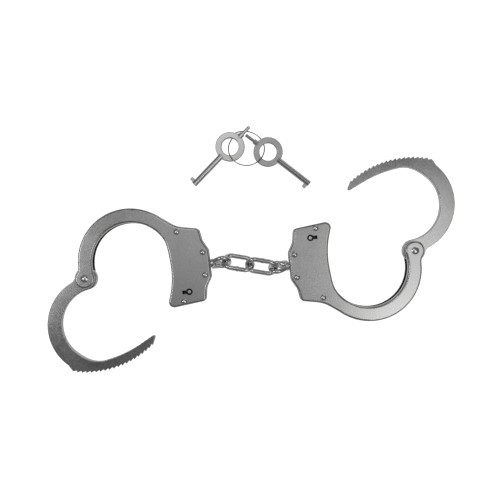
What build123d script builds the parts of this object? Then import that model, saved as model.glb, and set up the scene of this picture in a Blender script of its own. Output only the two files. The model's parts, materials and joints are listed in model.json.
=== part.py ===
from build123d import *
import os
from math import atan2, cos, degrees, hypot, radians, sin, sqrt

os.makedirs("parts", exist_ok=True)

# Double-locking chain handcuffs with two keys on a wire ring, in millimetres, +Z up.
# Each cuff is drawn in its own frame: jaw pivot at the origin, chain towards +x.

# ---- stack of one cuff, measured up from the floor ----
rivet_head_height = 0.8
plate_thickness = 2.4
gap_between_plates = 4.0
jaw_thickness = 3.6
plate_edge_round = 1.45
lower_plate_z = rivet_head_height
gap_floor_z = lower_plate_z + plate_thickness
upper_plate_z = gap_floor_z + gap_between_plates
cuff_top_z = upper_plate_z + plate_thickness
mid_z = gap_floor_z + gap_between_plates / 2

# ---- bow of the two cheek plates ----
bow_centre = (30.9, 8.6)
bow_outer_radius = 34.5
bow_inner_centre = (31.5, 7.5)
bow_inner_radius = 25.85
bow_outer_end_angle = 49.0
bow_inner_end_angle = 30.0
pivot_boss_radius = hypot(*bow_inner_centre) - bow_inner_radius
boss_blend_radius = 7.0

# ---- lock case ----
case_inner_radius = 57.0
chain_edge_x = 82.8
chain_edge_low_y = -7.9
chain_edge_top_y = 10.4
top_corner = (77.8, 24.8)
top_waist = (79.1, 17.0)
bow_root = (63.2, 27.7)
low_waist = (79.0, -14.4)
low_corner = (77.7, -23.1)
low_inner_y = -26.0
waist_round = 9.0
case_corner_round = 2.6
low_inner_round = 3.8
edge_corner_round = 4.0
bow_root_round = 20.0
case_rivet_points = [(63.3, 24.0), (78.9, 8.9), (78.9, -6.1), (63.3, -21.9)]
case_rivet_radius = 1.1
case_rivet_head_radius = 1.95
jaw_rivet_radius = 1.6
jaw_rivet_head_radius = 2.5

# ---- jaw ----
jaw_outer_centre = (4.0, -31.2)
jaw_outer_radius = 32.7
jaw_inner_centre = (4.3, -30.6)
jaw_inner_radius = 23.45
jaw_boss_radius = hypot(*jaw_inner_centre) - jaw_inner_radius
jaw_inner_end_angle = 228.0
jaw_strand_inner_radius = 55.5
jaw_strand_start_angle = -84.0
jaw_strand_end_angle = -56.0
tooth_count = 20
tooth_pitch = 2.8
tooth_tip_radius = 62.3
tooth_root_radius = 61.0
first_tooth_angle = -51.0
steep_face_lean = 0.25
jaw_edge_round = 0.4
jaw_hole_clearance = 0.05
jaw_sweep_clearance = 0.45

# ---- lock parts inside the case ----
keyhole_centre = (67.4, -15.9)
keyhole_radius = 2.2
keyway_reach = 4.6
keyway_width = 2.3
key_post_radius = 1.0
key_room_radius = 4.9
pawl_pin_point = (67.2, 10.6)
pawl_pin_radius = 1.2
pawl_boss_radius = 2.3
pawl_thickness = 3.6
pawl_tip_radius = 62.45
pawl_face_radius = 63.75
pawl_back_x = 69.3
pawl_first_tooth_angle = -3.0
pawl_tooth_count = 3
pawl_tail_y = -12.3
pocket_outer_x = 72.9
pocket_top_y = 17.0
pocket_low_y = -18.6
bolt_near_x = 70.6
bolt_far_x = 72.6
bolt_top_y = 14.2
bolt_low_y = -9.6
bolt_travel = 3.0
double_lock_hole_radius = 1.4
spring_thickness = 0.35

# ---- swivel ----
swivel_y = 1.0
swivel_head_radius = 3.0
swivel_head_x = 73.9
swivel_head_length = 2.5
swivel_stem_radius = 1.9
swivel_collar_radius = 3.0
swivel_collar_length = 1.7
swivel_running_gap = 0.4
eye_wire_radius = 1.55
eye_far_radius = 4.3
eye_near_radius = 2.3
eye_far_x = 95.4
eye_near_x = 84.6
swivel_roll = 50.0
web_points = [(83.4, 2.2), (90.0, 0.6), (90.2, -2.6), (88.0, -3.9), (83.4, -3.8)]
web_top = -1.3
web_thickness = 2.8

# ---- chain links ----
link_wire_radius = 1.6
link_end_radius = 5.2
link_length = 22.2
link_roll = 40.0
link_play = 0.15
weld_radius = 1.8
weld_length = 1.6

# ---- placing of the cuffs: the object is the same after half a turn about +Z ----
pivot_offset = (-108.4, -9.25)
cuff_angle = 6.3
right_jaw_extra_opening = 3.25

# ---- keys and ring ----
bow_ring_outer = 9.8
bow_ring_inner = 5.7
bow_ring_thickness = 2.2
key_barrel_radius = 1.95
key_barrel_end = 34.8
key_bore_radius = 1.15
key_bore_depth = 9.0
key_bit_reach = 4.4
key_bit_width = 1.8
key_bit_length = 2.5
key_bit_setback = 0.6
key_peg_radius = 1.1
key_peg_end = 18.6
key_shoulder_radius = 1.75
key_shoulder_end = 11.9
ring_radius = 12.0
ring_wire_radius = 0.4
ring_lap_radius = 13.9
ring_lap_sweep = 80.0
ring_overlap = 20.0
ring_lap_end = 115.0
ring_middle = (-2.3, 77.2, 3.64)
ring_slope = 0.26
# each key: middle of its bow, barrel direction in plan, slope of its bow along X and along Y
key_poses = {
    "left": ((-13.2, 78.5, 3.3), -134.1, (0.023, 0.03)),
    "right": ((12.1, 74.9, 4.06), -37.1, (0.0, 0.1)),
}


def polar(radius, angle, centre=(0, 0)):
    """Point at an angle in degrees on a circle."""
    return (centre[0] + radius * cos(radians(angle)), centre[1] + radius * sin(radians(angle)))


def round_at(sketch, point, radius):
    """Round the corner of a flat sketch nearest to a point."""
    corner = sketch.vertices().sort_by_distance(Vector(*point))[0]
    return fillet(corner, radius)


def disc(radius, z, height, centre=(0, 0)):
    """Upright cylinder whose lower face is at z."""
    return Pos(centre[0], centre[1], z) * Cylinder(
        radius, height, align=(Align.CENTER, Align.CENTER, Align.MIN)
    )


def block(x0, x1, y0, y1, z0, z1):
    """Box between two corners."""
    return Pos(x0, y0, z0) * Box(x1 - x0, y1 - y0, z1 - z0, align=Align.MIN)


# ---------------------------------------------------------------- cheek plates
def case_low_inner_corner():
    """Where the inner arc of the case meets its bottom edge."""
    return (sqrt(case_inner_radius**2 - low_inner_y**2), low_inner_y)


def cheek_outline():
    """Flat outline shared by both cheek plates."""
    outer_end = polar(bow_outer_radius, bow_outer_end_angle, bow_centre)
    inner_end = polar(bow_inner_radius, bow_inner_end_angle, bow_inner_centre)
    outer_start = polar(bow_outer_radius, 193, bow_centre)
    boss_side = degrees(atan2(-bow_inner_centre[1], -bow_inner_centre[0]))
    inner_start = polar(bow_inner_radius, boss_side, bow_inner_centre)
    case_arc_start = polar(case_inner_radius, 6)
    low_inner = case_low_inner_corner()
    edges = [
        Line(outer_end, bow_root),
        Line(bow_root, top_corner),
        Line(top_corner, top_waist),
        Line(top_waist, (chain_edge_x, chain_edge_top_y)),
        Line((chain_edge_x, chain_edge_top_y), (chain_edge_x, chain_edge_low_y)),
        Line((chain_edge_x, chain_edge_low_y), low_waist),
        Line(low_waist, low_corner),
        Line(low_corner, low_inner),
        ThreePointArc(low_inner, polar(case_inner_radius, -10), case_arc_start),
        Spline(
            case_arc_start,
            inner_end,
            tangents=[
                Vector(-sin(radians(6)), cos(radians(6))),
                Vector(-sin(radians(bow_inner_end_angle)), cos(radians(bow_inner_end_angle))),
            ],
        ),
        ThreePointArc(inner_end, polar(bow_inner_radius, 100, bow_inner_centre), inner_start),
        Line(inner_start, outer_start),
        ThreePointArc(outer_start, polar(bow_outer_radius, 120, bow_centre), outer_end),
    ]
    outline = make_face(Wire(edges)) + Circle(pivot_boss_radius)
    outline = round_at(outline, bow_root, bow_root_round)
    outline = round_at(outline, top_corner, case_corner_round)
    outline = round_at(outline, low_corner, case_corner_round)
    outline = round_at(outline, low_inner, low_inner_round)
    outline = round_at(outline, top_waist, waist_round)
    outline = round_at(outline, low_waist, waist_round)
    outline = round_at(outline, (chain_edge_x, chain_edge_top_y), edge_corner_round)
    outline = round_at(outline, (chain_edge_x, chain_edge_low_y), edge_corner_round)
    outline = round_at(outline, (-5.0, 4.0), boss_blend_radius)
    return outline


def dome(radius, height, z, facing, centre):
    """Low round head on a face at height z; facing is 1 for up, -1 for down."""
    ball_radius = (radius**2 + height**2) / (2 * height)
    ball = Pos(centre[0], centre[1], z + facing * (height - ball_radius)) * Sphere(ball_radius)
    low, high = sorted((z, z + facing * height))
    return ball & block(
        centre[0] - radius,
        centre[0] + radius,
        centre[1] - radius,
        centre[1] + radius,
        low,
        high,
    )


def rivet(centre, shank_radius, head_radius):
    """Rivet through both plates, with a domed head on each side."""
    shank = disc(shank_radius, lower_plate_z, cuff_top_z - lower_plate_z, centre)
    top = dome(head_radius, rivet_head_height, cuff_top_z, 1, centre)
    bottom = dome(head_radius, rivet_head_height, lower_plate_z, -1, centre)
    return shank + top + bottom


def cheek_plate(z, outer_face_up):
    """One cheek plate with rivet holes, a pocket for the swivel head and a rounded outer edge."""
    plate = Pos(0, 0, z) * extrude(cheek_outline(), plate_thickness)
    outer = plate.faces().sort_by(Axis.Z)[-1 if outer_face_up else 0]
    plate = fillet(outer.outer_wire().edges(), plate_edge_round)
    for centre in case_rivet_points:
        plate -= disc(case_rivet_radius, z, plate_thickness, centre)
    plate -= disc(jaw_rivet_radius, z, plate_thickness)
    head_room = swivel_head_radius + 0.2
    pocket = Pos(swivel_head_x - 0.3, swivel_y, mid_z) * Rot(0, 90, 0) * Cylinder(
        head_room,
        swivel_head_length + 0.6,
        align=(Align.CENTER, Align.CENTER, Align.MIN),
    )
    return plate - pocket


def upper_plate():
    """Cheek plate with the keyway: a round hole with a slot for the key's bit."""
    plate = cheek_plate(upper_plate_z, True)
    x, y = keyhole_centre
    keyway = disc(keyhole_radius, upper_plate_z, plate_thickness, keyhole_centre)
    keyway += block(
        x - keyway_reach,
        x,
        y - keyway_width / 2,
        y + keyway_width / 2,
        upper_plate_z,
        cuff_top_z,
    )
    return plate - keyway


def lower_plate():
    """Cheek plate that holds the foot of the key post."""
    return cheek_plate(lower_plate_z, False) - disc(
        key_post_radius, lower_plate_z, plate_thickness, keyhole_centre
    )


# ---------------------------------------------------------------- lock case insides
def lock_core():
    """Spacer between the plates that walls in the lock and lets the jaw swing past."""
    outline = offset(cheek_outline(), -0.35)
    outline -= Circle(tooth_tip_radius + jaw_sweep_clearance)
    outline &= Pos(80, 0) * Rectangle(44, 56)
    core = Pos(0, 0, gap_floor_z) * extrude(outline, gap_between_plates)
    core -= block(
        pocket_outer_x - 20,
        pocket_outer_x,
        pocket_low_y,
        pocket_top_y,
        gap_floor_z,
        upper_plate_z,
    )
    core -= block(
        pocket_outer_x - 1,
        pocket_outer_x + 1.7,
        6.6,
        pocket_top_y - 0.6,
        gap_floor_z,
        upper_plate_z,
    )
    core -= disc(key_room_radius, gap_floor_z, gap_between_plates, keyhole_centre)
    head_room = swivel_head_radius + 0.2
    core -= block(
        swivel_head_x - 0.3,
        swivel_head_x + swivel_head_length + 0.3,
        swivel_y - head_room,
        swivel_y + head_room,
        gap_floor_z,
        upper_plate_z,
    )
    stem_room = swivel_stem_radius + 0.08
    core -= block(
        swivel_head_x,
        chain_edge_x + 1,
        swivel_y - stem_room,
        swivel_y + stem_room,
        gap_floor_z,
        upper_plate_z,
    )
    core -= double_lock_hole()
    for centre in case_rivet_points:
        core -= disc(case_rivet_radius, gap_floor_z, gap_between_plates, centre)
    return core


def double_lock_hole():
    """Round hole from the top edge of the case to the end of the double-lock bolt."""
    x = (bolt_near_x + bolt_far_x) / 2
    return Pos(x, pocket_top_y - 1, mid_z) * Rot(-90, 0, 0) * Cylinder(
        double_lock_hole_radius, 14, align=(Align.CENTER, Align.CENTER, Align.MIN)
    )


def pawl():
    """Three-tooth pawl on its pin, lifted just clear of the jaw's teeth."""
    pin_x, pin_y = pawl_pin_point
    tail_x = sqrt(pawl_face_radius**2 - pawl_tail_y**2)
    body = make_face(
        Wire(
            [
                Line((pin_x, pin_y + 1), (pawl_back_x, pin_y - 1)),
                Line((pawl_back_x, pin_y - 1), (pawl_back_x, pawl_tail_y + 5.5)),
                Line((pawl_back_x, pawl_tail_y + 5.5), (tail_x + 2.6, pawl_tail_y)),
                Line((tail_x + 2.6, pawl_tail_y), (tail_x, pawl_tail_y)),
                ThreePointArc(
                    (tail_x, pawl_tail_y),
                    polar(pawl_face_radius, -4),
                    polar(pawl_face_radius, 7),
                ),
                Line(polar(pawl_face_radius, 7), (pin_x, pin_y + 1)),
            ]
        )
    )
    body += Pos(*pawl_pin_point) * Circle(pawl_boss_radius)
    for number in range(pawl_tooth_count):
        tip_angle = pawl_first_tooth_angle - number * tooth_pitch
        tooth = Polyline(
            polar(pawl_face_radius + 0.4, tip_angle + steep_face_lean),
            polar(pawl_tip_radius, tip_angle),
            polar(pawl_face_radius + 0.4, tip_angle - tooth_pitch + 0.3),
            close=True,
        )
        body += make_face(tooth)
    body -= Pos(*pawl_pin_point) * Circle(pawl_pin_radius + 0.05)
    return Pos(0, 0, mid_z - pawl_thickness / 2) * extrude(body, pawl_thickness)


def pawl_pin():
    """Fixed pin that the pawl turns on, held between the plates."""
    return disc(pawl_pin_radius, gap_floor_z, gap_between_plates, pawl_pin_point)


def leaf(points, width):
    """Thin strip spring that stands on edge between the plates, along a path."""
    path = FilletPolyline(*points, radius=0.8)
    strip = offset(path, spring_thickness / 2, side=Side.BOTH)
    return Pos(0, 0, mid_z - width / 2) * extrude(make_face(strip), width)


def pawl_spring():
    """Leaf spring behind the pawl."""
    x = pawl_back_x + 0.62
    return leaf([(x - 2.4, 15.6), (x, 15.6), (x, 4.0), (x - 0.12, -3.5)], 3.4)


def double_lock_bolt():
    """Sliding bar behind the pawl, pushed by the key's peg and returned by its bit."""
    bar = block(
        bolt_near_x,
        bolt_far_x,
        bolt_low_y,
        bolt_top_y,
        mid_z - pawl_thickness / 2,
        mid_z + pawl_thickness / 2,
    )
    bar = fillet(bar.edges().filter_by(Axis.Z), 0.4)
    notch_y = 10.0
    for number in range(2):
        bar -= disc(0.55, gap_floor_z, gap_between_plates, (bolt_far_x, notch_y + number * bolt_travel))
    return bar


def bolt_spring():
    """Leaf with a bump that holds the bolt at either end of its travel."""
    x = bolt_far_x + 1.15
    return leaf([(x, 7.3), (x, 9.1), (x - 0.75, 10.0), (x, 10.9), (x, 15.6)], 3.4)


def key_post():
    """Post that the hollow key barrel fits over, staked in the lower plate."""
    return disc(key_post_radius, lower_plate_z, upper_plate_z + 1.6 - lower_plate_z, keyhole_centre)


# ---------------------------------------------------------------- jaw
def jaw_outline():
    """Single-strand jaw with its ratchet teeth, at the left cuff's opening."""
    heel_angle = first_tooth_angle - (tooth_count - 1) * tooth_pitch
    outer_end_angle = degrees(atan2(-24.6, -22.0))
    outer_end = polar(jaw_outer_radius, outer_end_angle, jaw_outer_centre)
    outer_start = polar(jaw_outer_radius, 109.6, jaw_outer_centre)
    boss_side = degrees(atan2(-jaw_inner_centre[1], -jaw_inner_centre[0]))
    inner_start = polar(jaw_inner_radius, boss_side, jaw_inner_centre)
    inner_end = polar(jaw_inner_radius, jaw_inner_end_angle, jaw_inner_centre)
    strand_start = polar(jaw_strand_inner_radius + 0.1, jaw_strand_start_angle)
    strand_end = polar(jaw_strand_inner_radius + 0.8, jaw_strand_end_angle)
    strand_heading = radians(jaw_strand_start_angle)
    inner_heading = radians(jaw_inner_end_angle)
    tip_inner = polar(58.0, -46.6)
    tip_outer = polar(59.6, -45.6)
    edges = [
        ThreePointArc(outer_start, polar(jaw_outer_radius, 170, jaw_outer_centre), outer_end),
        Line(outer_end, polar(tooth_tip_radius - 0.6, heel_angle)),
    ]
    here = polar(tooth_tip_radius - 0.6, heel_angle)
    for number in range(tooth_count - 1, 0, -1):
        next_tip_angle = first_tooth_angle - (number - 1) * tooth_pitch
        root = polar(tooth_root_radius, next_tip_angle - steep_face_lean)
        tip = polar(tooth_tip_radius, next_tip_angle)
        edges += [Line(here, root), Line(root, tip)]
        here = tip
    edges += [
        Line(here, tip_outer),
        Line(tip_outer, tip_inner),
        Line(tip_inner, strand_end),
        ThreePointArc(strand_end, polar(jaw_strand_inner_radius, -70), strand_start),
        Spline(
            strand_start,
            inner_end,
            tangents=[
                Vector(sin(strand_heading), -cos(strand_heading)),
                Vector(sin(inner_heading), -cos(inner_heading)),
            ],
        ),
        ThreePointArc(inner_end, polar(jaw_inner_radius, 170, jaw_inner_centre), inner_start),
        Line(inner_start, outer_start),
    ]
    outline = make_face(Wire(edges)) + Circle(jaw_boss_radius)
    outline = round_at(outline, tip_inner, 1.2)
    outline = round_at(outline, tip_outer, 0.7)
    outline = round_at(outline, outer_start, 5.0)
    return outline


def jaw():
    """Jaw strand with softened edges and a running hole on its rivet."""
    blade = Pos(0, 0, mid_z - jaw_thickness / 2) * extrude(jaw_outline(), jaw_thickness)
    smooth_edges = [
        edge
        for edge in blade.edges().filter_by(Axis.Z, reverse=True)
        if edge.length > 0.5 and hypot((edge @ 0.5).X, (edge @ 0.5).Y) < tooth_root_radius - 0.5
    ]
    blade = fillet(smooth_edges, jaw_edge_round)
    return blade - disc(
        jaw_rivet_radius + jaw_hole_clearance, gap_floor_z, gap_between_plates
    )


# ---------------------------------------------------------------- swivel and links
def wire_loop(near, near_radius, far, far_radius, wire_radius):
    """Closed round-wire loop in the XY plane; near and far are the wire's end centres on X."""
    near_middle = near + near_radius
    far_middle = far - far_radius
    taper = (far_radius - near_radius) / (far_middle - near_middle)
    spread = sqrt(1 - taper**2)
    near_low = (near_middle - near_radius * taper, -near_radius * spread)
    near_high = (near_low[0], -near_low[1])
    far_low = (far_middle - far_radius * taper, -far_radius * spread)
    far_high = (far_low[0], -far_low[1])
    loop = Wire(
        [
            Line(near_low, far_low),
            ThreePointArc(far_low, (far, 0), far_high),
            Line(far_high, near_high),
            ThreePointArc(near_high, (near, 0), near_low),
        ]
    )
    section = Plane(origin=loop @ 0, z_dir=loop % 0) * Circle(wire_radius)
    return sweep(section, path=loop)


def swivel():
    """Swivel with its head inside the case, its eye outside and a flat web in the eye's root."""
    collar_x = chain_edge_x + swivel_running_gap
    profile = Polyline(
        (swivel_head_x, 0),
        (swivel_head_x, swivel_head_radius),
        (swivel_head_x + swivel_head_length, swivel_head_radius),
        (swivel_head_x + swivel_head_length, swivel_stem_radius),
        (collar_x, swivel_stem_radius),
        (collar_x, swivel_collar_radius),
        (collar_x + swivel_collar_length, swivel_collar_radius),
        (eye_near_x + 1.2, swivel_stem_radius + 0.3),
        (eye_near_x + 1.2, 0),
        close=True,
    )
    turned = revolve(make_face(profile), Axis.X)
    rims = turned.edges().filter_by(
        lambda edge: abs(edge.center().X - collar_x) < swivel_collar_length + 0.1
        and edge.geom_type == GeomType.CIRCLE
        and edge.radius > swivel_stem_radius + 1
    )
    turned = fillet(rims, 0.5)
    eye = wire_loop(eye_near_x, eye_near_radius, eye_far_x, eye_far_radius, eye_wire_radius)
    web = extrude(make_face(Polyline(*web_points, close=True)), web_thickness)
    web = fillet(web.edges().filter_by(Axis.Z), 0.8)
    web = Pos(0, 0, web_top - web_thickness) * fillet(web.faces().sort_by(Axis.Z)[-1].edges(), 0.3)
    return Pos(0, swivel_y, mid_z) * (Rot(swivel_roll, 0, 0) * (turned + eye) + web)


def chain_point_at_swivel():
    """Centre of the far wall of the left swivel's eye, from the chain's middle."""
    turn = radians(cuff_angle)
    return (
        pivot_offset[0] + eye_far_x * cos(turn) - swivel_y * sin(turn),
        pivot_offset[1] + eye_far_x * sin(turn) + swivel_y * cos(turn),
    )


def link_angle():
    """Direction of the first link in plan, in degrees."""
    x, y = chain_point_at_swivel()
    return degrees(atan2(-y, -x))


def chain_link():
    """Welded round-wire link along X, with its right-hand wire centre at the origin."""
    far = 0
    near = far - (link_length - 2 * link_wire_radius)
    link = wire_loop(near, link_end_radius, far, link_end_radius, link_wire_radius)
    bead = Pos((near + far) / 2, -link_end_radius, 0) * Rot(0, 90, 0) * Cylinder(
        weld_radius, weld_length
    )
    bead = fillet(bead.edges().filter_by(GeomType.CIRCLE), 0.15)
    return link + bead


def link_place():
    """Where the left link lies: hooked in the middle joint and rolled about its length."""
    hook = link_wire_radius + link_play / 2
    return Pos(0, 0, mid_z) * Rot(0, 0, link_angle()) * Pos(hook, 0, 0) * Rot(-link_roll, 0, 0)


# ---------------------------------------------------------------- keys and ring
def key_bow():
    """Flat ring that the fingers hold."""
    bow = Pos(0, 0, -bow_ring_thickness / 2) * extrude(
        Circle(bow_ring_outer) - Circle(bow_ring_inner), bow_ring_thickness
    )
    return fillet(bow.edges().filter_by(GeomType.CIRCLE), 0.5)


def rod(radius, start, end):
    """Round rod along X between two places."""
    return Pos(start, 0, 0) * Rot(0, 90, 0) * Cylinder(
        radius, end - start, align=(Align.CENTER, Align.CENTER, Align.MIN)
    )


def key_barrel():
    """Hollow barrel along +x with its bit, its root notched over the bow."""
    barrel = rod(key_barrel_radius, bow_ring_outer - 1.6, key_barrel_end)
    barrel = chamfer(barrel.edges().filter_by(GeomType.CIRCLE), 0.25)
    bit_end = key_barrel_end - key_bit_setback
    bit = block(
        bit_end - key_bit_length,
        bit_end,
        -key_bit_reach,
        0,
        -key_bit_width / 2,
        key_bit_width / 2,
    )
    bit = fillet(bit.faces().sort_by(Axis.Y)[0].edges(), 0.25)
    bore = rod(key_bore_radius, key_barrel_end - key_bore_depth, key_barrel_end)
    return barrel + bit - bore - key_bow()


def key_peg():
    """Double-lock peg along -x with a thicker shoulder, its root notched over the bow."""
    shoulder = rod(key_shoulder_radius, -key_shoulder_end, 1.2 - bow_ring_outer)
    shoulder = chamfer(shoulder.edges().filter_by(GeomType.CIRCLE), 0.2)
    peg = rod(key_peg_radius, -key_peg_end, 1.2 - bow_ring_outer)
    peg = chamfer(peg.faces().sort_by(Axis.X)[0].edges(), 0.2)
    return shoulder + peg - key_bow()


def key_place(side):
    """Plane of a key's bow as it hangs on the ring, x along the barrel."""
    middle, angle, slope = key_poses[side]
    heading = (cos(radians(angle)), sin(radians(angle)))
    rise = heading[0] * slope[0] + heading[1] * slope[1]
    return Plane(
        origin=middle,
        x_dir=(heading[0], heading[1], rise),
        z_dir=(-slope[0], -slope[1], 1),
    )


def ring_place():
    """Plane of the wire ring, which leans over the bows of both keys."""
    return Plane(origin=ring_middle, x_dir=(1, 0, 0), z_dir=(0, ring_slope, 1))


def key_ring():
    """Wire ring whose last stretch runs wider, so that its ends lap side by side."""
    lap_start = ring_lap_end - ring_lap_sweep
    main_start = lap_start - (360 + ring_overlap - ring_lap_sweep)
    lap_centre = polar(ring_radius - ring_lap_radius, lap_start)
    main = ThreePointArc(
        polar(ring_radius, main_start),
        polar(ring_radius, lap_start - 150),
        polar(ring_radius, lap_start),
    )
    lap = ThreePointArc(
        polar(ring_radius, lap_start),
        polar(ring_lap_radius, lap_start + ring_lap_sweep / 2, lap_centre),
        polar(ring_lap_radius, ring_lap_end, lap_centre),
    )
    path = Wire([main, lap])
    return sweep(Plane(origin=path @ 0, z_dir=path % 0) * Circle(ring_wire_radius), path=path)


# ---------------------------------------------------------------- assembly
def cuff_place(side):
    """Place of a cuff's own frame, measured from the middle of the chain."""
    half_turn = 0 if side == "left" else 180
    return Rot(0, 0, half_turn) * Pos(*pivot_offset, 0) * Rot(0, 0, cuff_angle)


def build_nodes():
    """Every named piece, placed about the middle of the chain."""
    nodes = {}
    for side in ("left", "right"):
        place = cuff_place(side)
        opening = 0 if side == "left" else -right_jaw_extra_opening
        pieces = {
            "upper_plate": upper_plate(),
            "lower_plate": lower_plate(),
            "lock_core": lock_core(),
            "jaw": Rot(0, 0, opening) * jaw(),
            "jaw_rivet": rivet((0, 0), jaw_rivet_radius, jaw_rivet_head_radius),
            "case_rivets": Compound(
                children=[
                    rivet(centre, case_rivet_radius, case_rivet_head_radius).solid()
                    for centre in case_rivet_points
                ]
            ),
            "pawl": pawl(),
            "pawl_pin": pawl_pin(),
            "pawl_spring": pawl_spring(),
            "double_lock_bolt": double_lock_bolt(),
            "bolt_spring": bolt_spring(),
            "key_post": key_post(),
            "swivel": swivel(),
        }
        for name, piece in pieces.items():
            nodes[f"{side}_{name}"] = place * piece
        lying = key_place(side).location
        nodes[f"{side}_key_bow"] = lying * key_bow()
        nodes[f"{side}_key_barrel"] = lying * key_barrel()
        nodes[f"{side}_key_peg"] = lying * key_peg()
        nodes[f"{side}_chain_link"] = Rot(0, 0, 0 if side == "left" else 180) * (
            link_place() * chain_link()
        )
    nodes["key_ring"] = ring_place().location * key_ring()
    return nodes


def origin_shift(nodes):
    """Move that puts the origin at the middle of the bottom of the whole object's box."""
    boxes = [piece.bounding_box() for piece in nodes.values()]
    low_x = min(box.min.X for box in boxes)
    high_x = max(box.max.X for box in boxes)
    low_y = min(box.min.Y for box in boxes)
    high_y = max(box.max.Y for box in boxes)
    low_z = min(box.min.Z for box in boxes)
    return Pos(-(low_x + high_x) / 2, -(low_y + high_y) / 2, -low_z)


def main():
    nodes = build_nodes()
    shift = origin_shift(nodes)
    for name, piece in nodes.items():
        export_step(shift * piece, f"parts/{name}.step")
    return shift


if __name__ == "__main__":
    main()
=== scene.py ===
import json
from math import pi

import bmesh
import bpy
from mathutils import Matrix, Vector

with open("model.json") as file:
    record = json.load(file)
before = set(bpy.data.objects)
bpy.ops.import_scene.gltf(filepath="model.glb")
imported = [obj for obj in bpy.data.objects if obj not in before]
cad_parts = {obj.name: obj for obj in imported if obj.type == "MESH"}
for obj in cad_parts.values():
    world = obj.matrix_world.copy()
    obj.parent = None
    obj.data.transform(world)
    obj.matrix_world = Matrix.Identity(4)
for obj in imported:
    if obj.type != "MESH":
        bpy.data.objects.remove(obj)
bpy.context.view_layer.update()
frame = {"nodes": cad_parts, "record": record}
nodes = frame["nodes"]
print("frame loaded:", len(nodes), "CAD nodes")


# ---- shader maths: a socket that adds its own Math nodes, and a material that adds any other node
class Strand:
    def __init__(self, finish, socket):
        self.finish, self.socket = finish, socket

    def maths(self, operation, first, second=0.0):
        return self.finish.node("ShaderNodeMath", {"operation": operation}, {0: first, 1: second})

    def __add__(self, other):
        return self.maths("ADD", self, other)

    def __sub__(self, other):
        return self.maths("SUBTRACT", self, other)

    def __rsub__(self, other):
        return self.maths("SUBTRACT", other, self)

    def __mul__(self, other):
        return self.maths("MULTIPLY", self, other)

    def __truediv__(self, other):
        return self.maths("DIVIDE", self, other)

    def __abs__(self):
        return self.maths("ABSOLUTE", self)

    __radd__, __rmul__ = __add__, __mul__

    def within(self, low, high):  # 0 below low, 1 above high, eased in between
        return self.finish.node("ShaderNodeMapRange", {"interpolation_type": "SMOOTHSTEP"},
                                {0: self, 1: low, 2: high})

    def most(self, other):
        return self.maths("MAXIMUM", self, other)


class Finish:
    def __init__(self, name):
        self.material = bpy.data.materials.new(name)
        self.material.use_nodes = True
        self.tree = self.material.node_tree
        self.surface = self.tree.nodes["Principled BSDF"]
        self.place = self.node("ShaderNodeTexCoord", output="Object")
        self.facing = self.node("ShaderNodeTexCoord", output="Normal")

    def node(self, kind, settings={}, values={}, output=0):
        made = self.tree.nodes.new(kind)
        for key, value in settings.items():
            setattr(made, key, value)
        for key, value in values.items():
            if isinstance(value, Strand):
                self.tree.links.new(value.socket, made.inputs[key])
            else:
                made.inputs[key].default_value = value
        return Strand(self, made.outputs[output])

    def set(self, **values):
        for key, value in values.items():
            socket = self.surface.inputs[key.replace("_", " ")]
            if isinstance(value, Strand):
                self.tree.links.new(value.socket, socket)
            else:
                socket.default_value = value
        return self

    def stretched(self, scale, turn=(0.0, 0.0, 0.0)):
        return self.node("ShaderNodeMapping", {}, {"Vector": self.place, "Rotation": turn, "Scale": scale})

    def noise(self, scale, detail=2.0, rough=0.5, where=None, distortion=0.0):
        return self.node("ShaderNodeTexNoise", {"noise_dimensions": "3D"}, {
            "Vector": where or self.place, "Scale": scale, "Detail": detail, "Roughness": rough,
            "Distortion": distortion})

    def colour(self, factor, low, high):
        return self.node("ShaderNodeMix", {"data_type": "RGBA"}, {0: factor, 6: (*low, 1.0), 7: (*high, 1.0)}, 2)

    def axis(self, vector, name):
        return self.node("ShaderNodeSeparateXYZ", {}, {0: vector}, name)

    def towards(self, factor, tint, shade):
        return self.node("ShaderNodeMix", {"data_type": "RGBA"}, {0: factor, 6: tint, 7: (*grey(shade), 1.0)}, 2)

    def bump(self, height, distance):
        return self.node("ShaderNodeBump", {}, {"Height": height, "Distance": distance, "Strength": 1.0})


def grey(value, warmth=0.0):
    return (value * (1 + warmth), value, value * (1 - warmth))


# ---- satin nickel: cheek plates, jaws and keys
satin = {
    "dark": 0.48, "light": 0.60, "warmth": 0.006, "ior": 1.9,
    "rough": 0.27, "blotchRough": 0.10, "grainRough": 0.10, "scratchRough": 0.06, "edgeRough": 0.20,
    "blotchScale": 70.0, "grainScale": 900.0, "poreScale": 2600.0,
    "lineScale": (60.0, 3200.0, 60.0), "lineTurn": (0.0, 0.0, 0.5),
    "crossScale": (2800.0, 50.0, 50.0), "crossTurn": (0.0, 0.0, -0.35),
    "lineCut": (0.68, 0.75), "crossCut": (0.70, 0.77), "edgeCut": (0.80, 0.985), "shadeCut": (0.25, 0.75),
    "bodyShare": 0.8, "edgeShare": 0.35, "grainShare": 0.7, "poreShare": 0.3, "scratchShare": 0.25,
    "sideCut": (-0.10, 0.75), "sideShade": 0.10, "innerCut": (0.90, 0.99), "innerShade": 0.05,
    "grainDepth": 0.000006,
}


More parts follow.
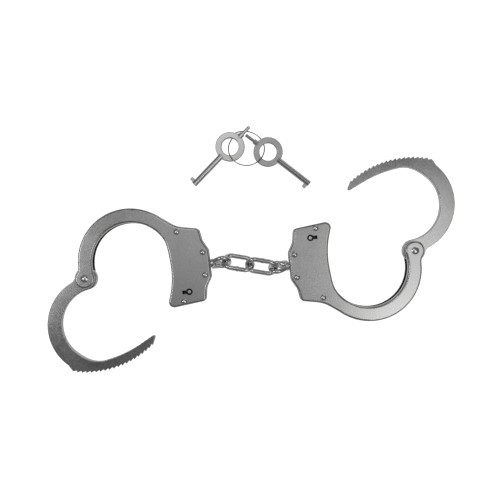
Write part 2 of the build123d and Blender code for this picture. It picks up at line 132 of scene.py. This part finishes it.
def satinNickel(name="satinNickel", dark=satin["dark"], light=satin["light"], rough=satin["rough"],
                paintedInnerShade=False, paintedSideShade=0.0):
    f = Finish(name)
    blotch = f.noise(satin["blotchScale"], 3.0, 0.6)
    grain = f.noise(satin["grainScale"], 3.0, 0.65)
    pores = f.noise(satin["poreScale"], 2.0, 0.5)
    lines = f.noise(1.0, 2.0, 0.5, f.stretched(satin["lineScale"], satin["lineTurn"]))
    cross = f.noise(1.0, 2.0, 0.5, f.stretched(satin["crossScale"], satin["crossTurn"]))
    scratch = lines.within(*satin["lineCut"]).most(cross.within(*satin["crossCut"]))
    upward = f.axis(f.facing, "Z")
    edge = 1 - abs(upward).within(*satin["edgeCut"])
    shade = (blotch * 0.5 + grain * 0.5).within(*satin["shadeCut"]) * satin["bodyShare"] + edge * satin["edgeShare"]
    tint = f.colour(shade, grey(dark, satin["warmth"]), grey(light, satin["warmth"]))
    if paintedSideShade:  # painted shade: the sides and underneath are darkened where less light falls
        tint = f.towards((1 - upward.within(*satin["sideCut"])) * paintedSideShade, tint, satin["sideShade"])
    if paintedInnerShade:  # painted shade: the face inside the lock is darkened where shade falls in the gap between the plates
        tint = f.towards(upward.within(*satin["innerCut"]), tint, satin["innerShade"])
    f.set(Metallic=1.0, IOR=satin["ior"], Base_Color=tint,
          Roughness=(blotch - 0.5) * satin["blotchRough"] + (grain - 0.5) * satin["grainRough"] + rough
          - scratch * satin["scratchRough"] - edge * (rough - satin["edgeRough"]),
          Normal=f.bump(grain * satin["grainShare"] + pores * satin["poreShare"]
                        - scratch * satin["scratchShare"], satin["grainDepth"]))
    return f.material


# ---- polished nickel: rivets, swivels and chain links
polish = {
    "dark": 0.66, "light": 0.80, "ior": 1.9, "rough": 0.20, "blotchRough": 0.08, "scuffRough": 0.10,
    "blotchScale": 160.0, "grainScale": 1500.0, "scuffScale": 420.0, "scuffCut": (0.56, 0.70),
    "blotchCut": (0.3, 0.7), "sideCut": (-0.10, 0.70), "sideShare": 0.7, "sideShade": 0.12,
    "grainDepth": 0.000004,
}


def polishedNickel():
    f = Finish("polishedNickel")
    blotch = f.noise(polish["blotchScale"], 3.0, 0.6)
    grain = f.noise(polish["grainScale"], 3.0, 0.6)
    scuff = f.noise(polish["scuffScale"], 4.0, 0.7).within(*polish["scuffCut"])
    tint = f.colour(blotch.within(*polish["blotchCut"]), grey(polish["dark"]), grey(polish["light"]))
    # painted shade: sides and undersides are darkened towards sideShade by their facing
    side = (1 - f.axis(f.facing, "Z").within(*polish["sideCut"])) * polish["sideShare"]
    f.set(Metallic=1.0, IOR=polish["ior"], Base_Color=f.towards(side, tint, polish["sideShade"]),
          Roughness=polish["rough"] + (blotch - 0.5) * polish["blotchRough"] + scuff * polish["scuffRough"],
          Normal=f.bump(grain * 0.5 + scuff * 0.5, polish["grainDepth"]))
    return f.material


# ---- plain steel: lock core, key ring and the parts inside the lock
plain = {
    "darker": 0.85, "lighter": 1.1, "ior": 1.9, "lineRough": 0.2, "blotchScale": 120.0,
    "blotchCut": (0.3, 0.7), "acrossLines": 90.0, "lineDepth": 0.000015,
}


def plainSteel(name, shade, rough, lineScale):
    f = Finish(name)
    blotch = f.noise(plain["blotchScale"], 3.0, 0.6)
    across = plain["acrossLines"]
    lines = f.noise(1.0, 3.0, 0.6, f.stretched((across, across, lineScale)))
    f.set(Metallic=1.0, IOR=plain["ior"],
          Base_Color=f.colour(blotch.within(*plain["blotchCut"]),
                              grey(shade * plain["darker"]), grey(shade * plain["lighter"])),
          Roughness=rough + (lines - 0.5) * plain["lineRough"],
          Normal=f.bump(lines, plain["lineDepth"]))
    return f.material


# ---- which finish goes where: by the record's slot, and three kinds of part that have their own
finishes = {
    "satin_nickel": satinNickel(),
    "case_steel": plainSteel("caseSteel", 0.46, 0.40, 2400.0),
    "polished_nickel": polishedNickel(),
    "key_nickel": satinNickel("keyNickel", 0.50, 0.70, 0.26, paintedSideShade=0.75),
    "wire_steel": plainSteel("wireSteel", 0.42, 0.22, 1500.0),
    "hardened_steel": plainSteel("hardenedSteel", 0.36, 0.34, 1800.0),
    "spring_steel": plainSteel("springSteel", 0.30, 0.30, 1500.0),
}
ownFinishes = {
    # the lower plate gets painted shade on its upward inner face
    "lower_plate": satinNickel("innerShadedPlate", paintedInnerShade=True),
    "jaw": satinNickel("jawSatin", 0.38, 0.66, 0.22),
    "key_post": plainSteel("brightPost", 0.75, 0.25, 1800.0),
}
for part in frame["record"]["subparts"]:
    finish = finishes[part["material_slot"]]
    for ending, own in ownFinishes.items():
        if part["node"].endswith(ending):
            finish = own
    node = nodes[part["node"]]
    node.data.materials.clear()
    node.data.materials.append(finish)
print("finishes laid on the CAD nodes")


# ---- camera: straight above
lens = {"place": (-0.00077, -0.00076, 0.342), "focal": 36.55, "sensor": 36.0}
cameraData = bpy.data.cameras.new("camera")
cameraData.lens, cameraData.sensor_width = lens["focal"], lens["sensor"]
camera = bpy.data.objects.new("camera", cameraData)
camera.location = lens["place"]
bpy.context.scene.collection.objects.link(camera)
bpy.context.scene.camera = camera
bpy.context.scene.view_settings.view_transform = "Standard"

# ---- floor: a plain white table
table = {"half": 3.0, "shade": 0.80, "glow": 1.0, "castGlow": 0.30}
bm = bmesh.new()
bmesh.ops.create_grid(bm, x_segments=1, y_segments=1, size=table["half"])
floorMesh = bpy.data.meshes.new("floor")
bm.to_mesh(floorMesh)
bm.free()
floor = bpy.data.objects.new("floor", floorMesh)
bpy.context.scene.collection.objects.link(floor)
f = Finish("whiteTable")
seen = f.node("ShaderNodeLightPath", output="Is Camera Ray")
f.set(Base_Color=(*grey(table["shade"]), 1.0), Roughness=0.8, Emission_Strength=1.0,
      Emission_Color=f.colour(seen, grey(table["castGlow"]), grey(table["glow"])))
floorMesh.materials.append(f.material)

# ---- light: soft panels over a white table, facing straight down or aimed at the object
panels = {
    "leftBox": {"middle": (-0.75, 0.0, 1.0), "size": (0.36, 0.34), "glow": 3.7},
    "rightBox": {"middle": (0.42, -0.35, 1.0), "size": (0.30, 0.36), "glow": 2.2},
    "farRight": {"middle": (0.75, -0.35, 1.0), "size": (0.36, 0.36), "glow": 0.9},
    "rightFill": {"middle": (0.42, 0.0, 1.0), "size": (0.28, 0.34), "glow": 1.2},
    "backBox": {"middle": (-0.14, 0.42, 1.0), "size": (0.34, 0.50), "glow": 1.2},
    "middleFill": {"middle": (0.0, 0.0, 1.0), "size": (0.56, 0.34), "glow": 0.35},
    "backSoft": {"middle": (0.856, 1.483, 0.556), "size": (0.9, 0.55), "glow": 0.72, "aimed": True},
}
for name, panel in panels.items():
    width, height = panel["size"]
    light = bpy.data.lights.new(name, "AREA")
    light.shape, light.size, light.size_y = "RECTANGLE", width, height
    light.energy = panel["glow"] * pi * width * height
    lamp = bpy.data.objects.new(name, light)
    lamp.location = panel["middle"]
    if panel.get("aimed"):
        lamp.rotation_mode = "QUATERNION"
        lamp.rotation_quaternion = Vector(panel["middle"]).to_track_quat("Z", "Y")
    bpy.context.scene.collection.objects.link(lamp)

# ---- room: paler to the camera than to the surfaces it lights
walls = {"cast": 0.13, "seen": 1.0}
room = bpy.data.worlds.new("room")
room.use_nodes = True
bpy.context.scene.world = room
roomNodes, roomLinks = room.node_tree.nodes, room.node_tree.links
backdrop = roomNodes.new("ShaderNodeMix")
backdrop.data_type = "RGBA"
backdrop.inputs[6].default_value = (*grey(walls["cast"]), 1.0)
backdrop.inputs[7].default_value = (*grey(walls["seen"]), 1.0)
roomLinks.new(roomNodes.new("ShaderNodeLightPath").outputs["Is Camera Ray"], backdrop.inputs[0])
roomLinks.new(backdrop.outputs[2], roomNodes["Background"].inputs["Color"])
print("camera, table and lights in place")
